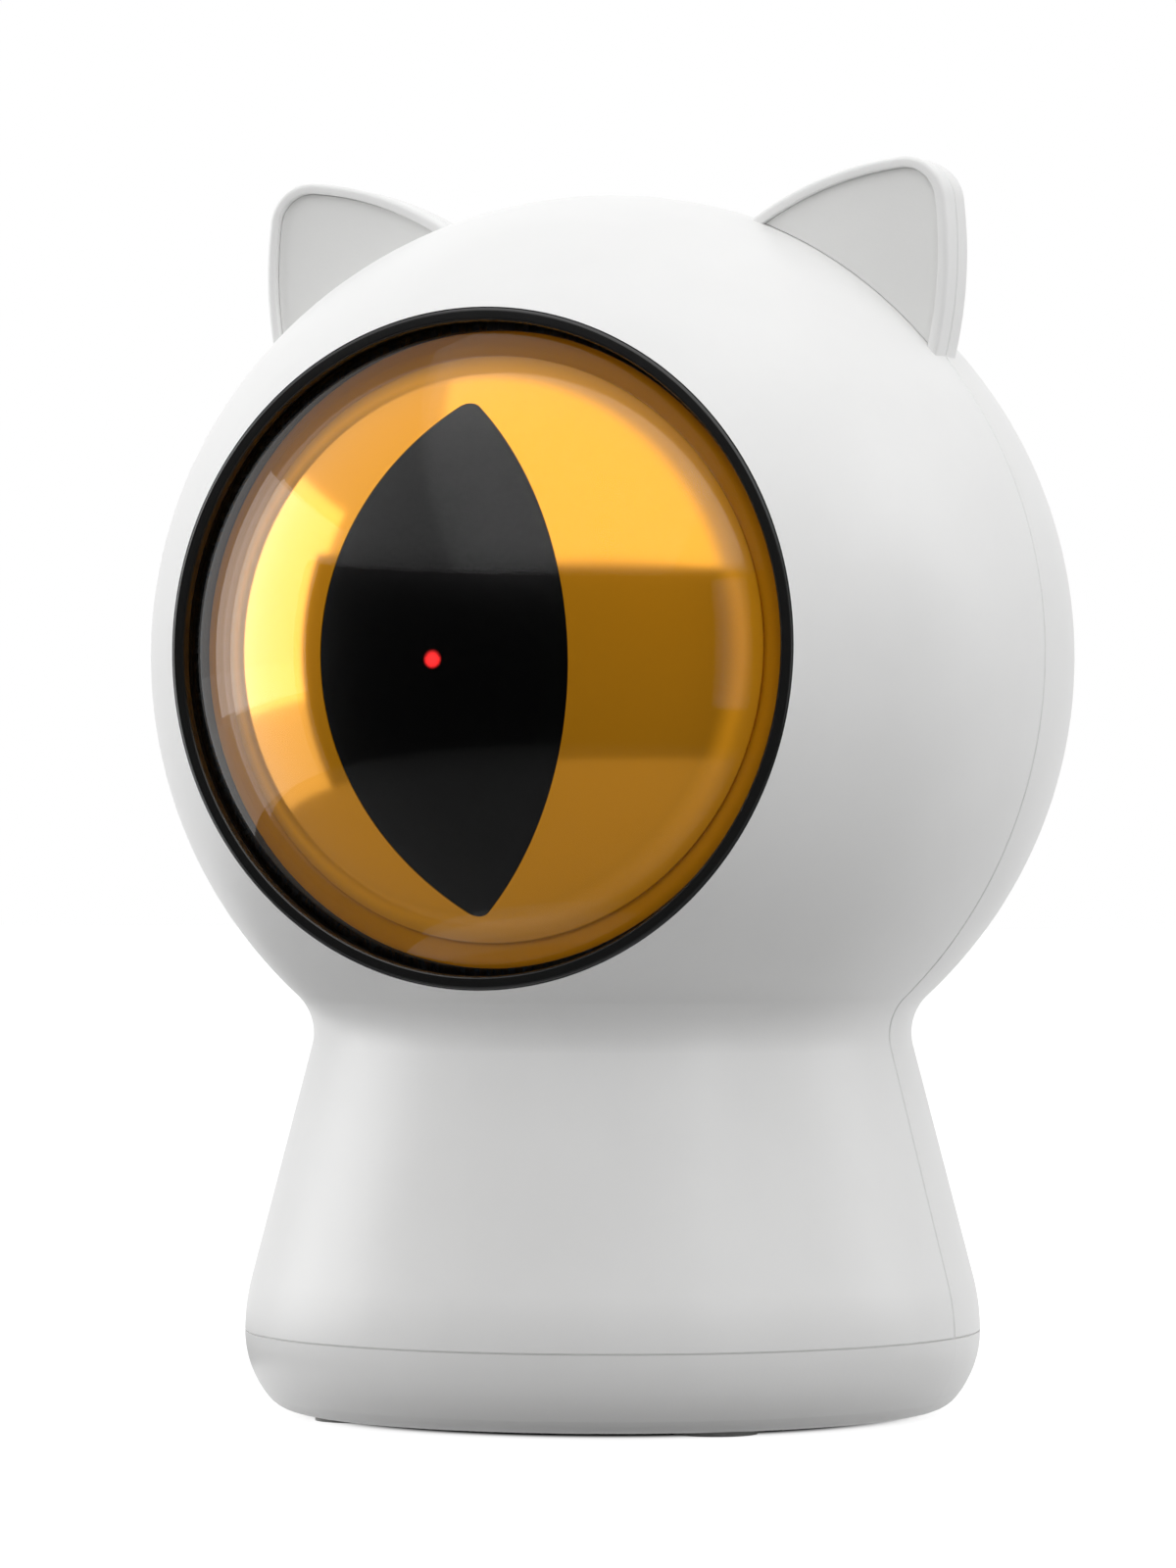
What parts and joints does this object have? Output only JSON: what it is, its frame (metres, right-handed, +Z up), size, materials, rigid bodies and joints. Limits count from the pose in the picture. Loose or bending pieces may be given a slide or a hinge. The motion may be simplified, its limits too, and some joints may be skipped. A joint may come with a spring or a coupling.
{
  "type": "automatic cat laser toy",
  "caption": "Cat-headed laser toy: ball head with ears on a waisted pedestal, gold eye dome with slit pupil, panning and tilting laser inside, cell door below.",
  "frame": {"origin": "on the table, under the middle of the body", "axes": "+Z up; the eye looks along -Y; the seam between the shells lies near the XZ plane"},
  "size_m": [0.09, 0.09, 0.1209],
  "materials": {
    "shell_white": "fine satin moulded plastic",
    "ear_grey": "satin",
    "bezel_black": "gloss",
    "clear_dome": "polished, dark print at the edge",
    "seal_rubber": "matt",
    "gold_mirror": "metallised plastic",
    "pupil_dark": "gloss, lets red light through",
    "frame_grey": "satin",
    "gear_nylon": "satin",
    "steel": "zinc plated",
    "motor_steel": "drawn can",
    "brass": "turned",
    "red_lens": "polished",
    "board_green": "solder mask",
    "chip_black": "matt",
    "cell_jacket": "printed jacket, bare of marks",
    "contact_nickel": "nickel plated",
    "light_clear": "frosted",
    "button_grey": "satin"
  },
  "bodies": {
    "root": {"front_shell": "shell_white", "rear_shell": "shell_white", "ear_insert_left": "ear_grey", "ear_insert_right": "ear_grey", "base_tray": "shell_white", "rubber_feet": "seal_rubber", "base_screws": "steel", "door_hinge_pin": "steel", "battery_holder": "frame_grey", "holder_screws": "steel", "battery_cells": "cell_jacket", "top_contacts": "contact_nickel", "top_springs": "contact_nickel", "eye_bezel": "bezel_black", "eye_dome": "clear_dome", "dome_seal": "seal_rubber", "iris_reflector": "gold_mirror", "pupil_window": "pupil_dark", "lens_retainer": "bezel_black", "mech_frame": "frame_grey", "frame_screws": "steel", "pan_bushing": "brass", "pan_motor": "motor_steel", "control_board": "board_green", "board_chips": "chip_black", "board_screws": "steel", "inlet_socket": "contact_nickel", "status_light": "light_clear", "button_switch": "chip_black"},
    "door": {"battery_door": "shell_white", "door_contacts": "contact_nickel", "door_springs": "contact_nickel"},
    "pan_head": {"pan_yoke": "frame_grey", "pan_gear": "gear_nylon", "pan_screw": "steel", "tilt_bushings": "brass", "tilt_motor": "motor_steel"},
    "pan_drive": {"pan_pinion": "brass"},
    "laser_head": {"tilt_axle": "steel", "tilt_gear": "gear_nylon", "laser_carrier": "frame_grey", "laser_barrel": "brass", "laser_lens": "red_lens"},
    "tilt_drive": {"tilt_pinion": "brass"},
    "button": {"power_button": "button_grey"}
  },
  "joints": [
    {"name": "door_hinge", "type": "hinge", "parent": "root", "child": "door", "pos_m": [0, 0.0142, 0.0014], "axis": [1, 0, 0], "range_deg": [0, 95]},
    {"name": "pan_turn", "type": "hinge", "parent": "root", "child": "pan_head", "pos_m": [0, -0.006, 0.0735], "axis": [0, 0, 1], "range_deg": [-12, 12]},
    {"name": "pan_drive_spin", "type": "hinge", "parent": "root", "child": "pan_drive", "pos_m": [0.0181, -0.006, 0.0635], "axis": [0, 0, 1], "range_deg": [-62, 62]},
    {"name": "tilt_turn", "type": "hinge", "parent": "pan_head", "child": "laser_head", "pos_m": [0, -0.006, 0.0735], "axis": [1, 0, 0], "range_deg": [-10, 18]},
    {"name": "tilt_drive_spin", "type": "hinge", "parent": "pan_head", "child": "tilt_drive", "pos_m": [0.0052, 0.0031, 0.0735], "axis": [1, 0, 0], "range_deg": [-48, 28]},
    {"name": "button_press", "type": "slide", "parent": "root", "child": "button", "axis": [0, -1, 0], "range_m": [0, 0.0008], "stiffness_N_per_m": 1200}
  ],
  "couplings": [
    {"joint": "pan_drive_spin", "follows": "pan_turn", "ratio": -5},
    {"joint": "tilt_drive_spin", "follows": "tilt_turn", "ratio": -2.6}
  ]
}
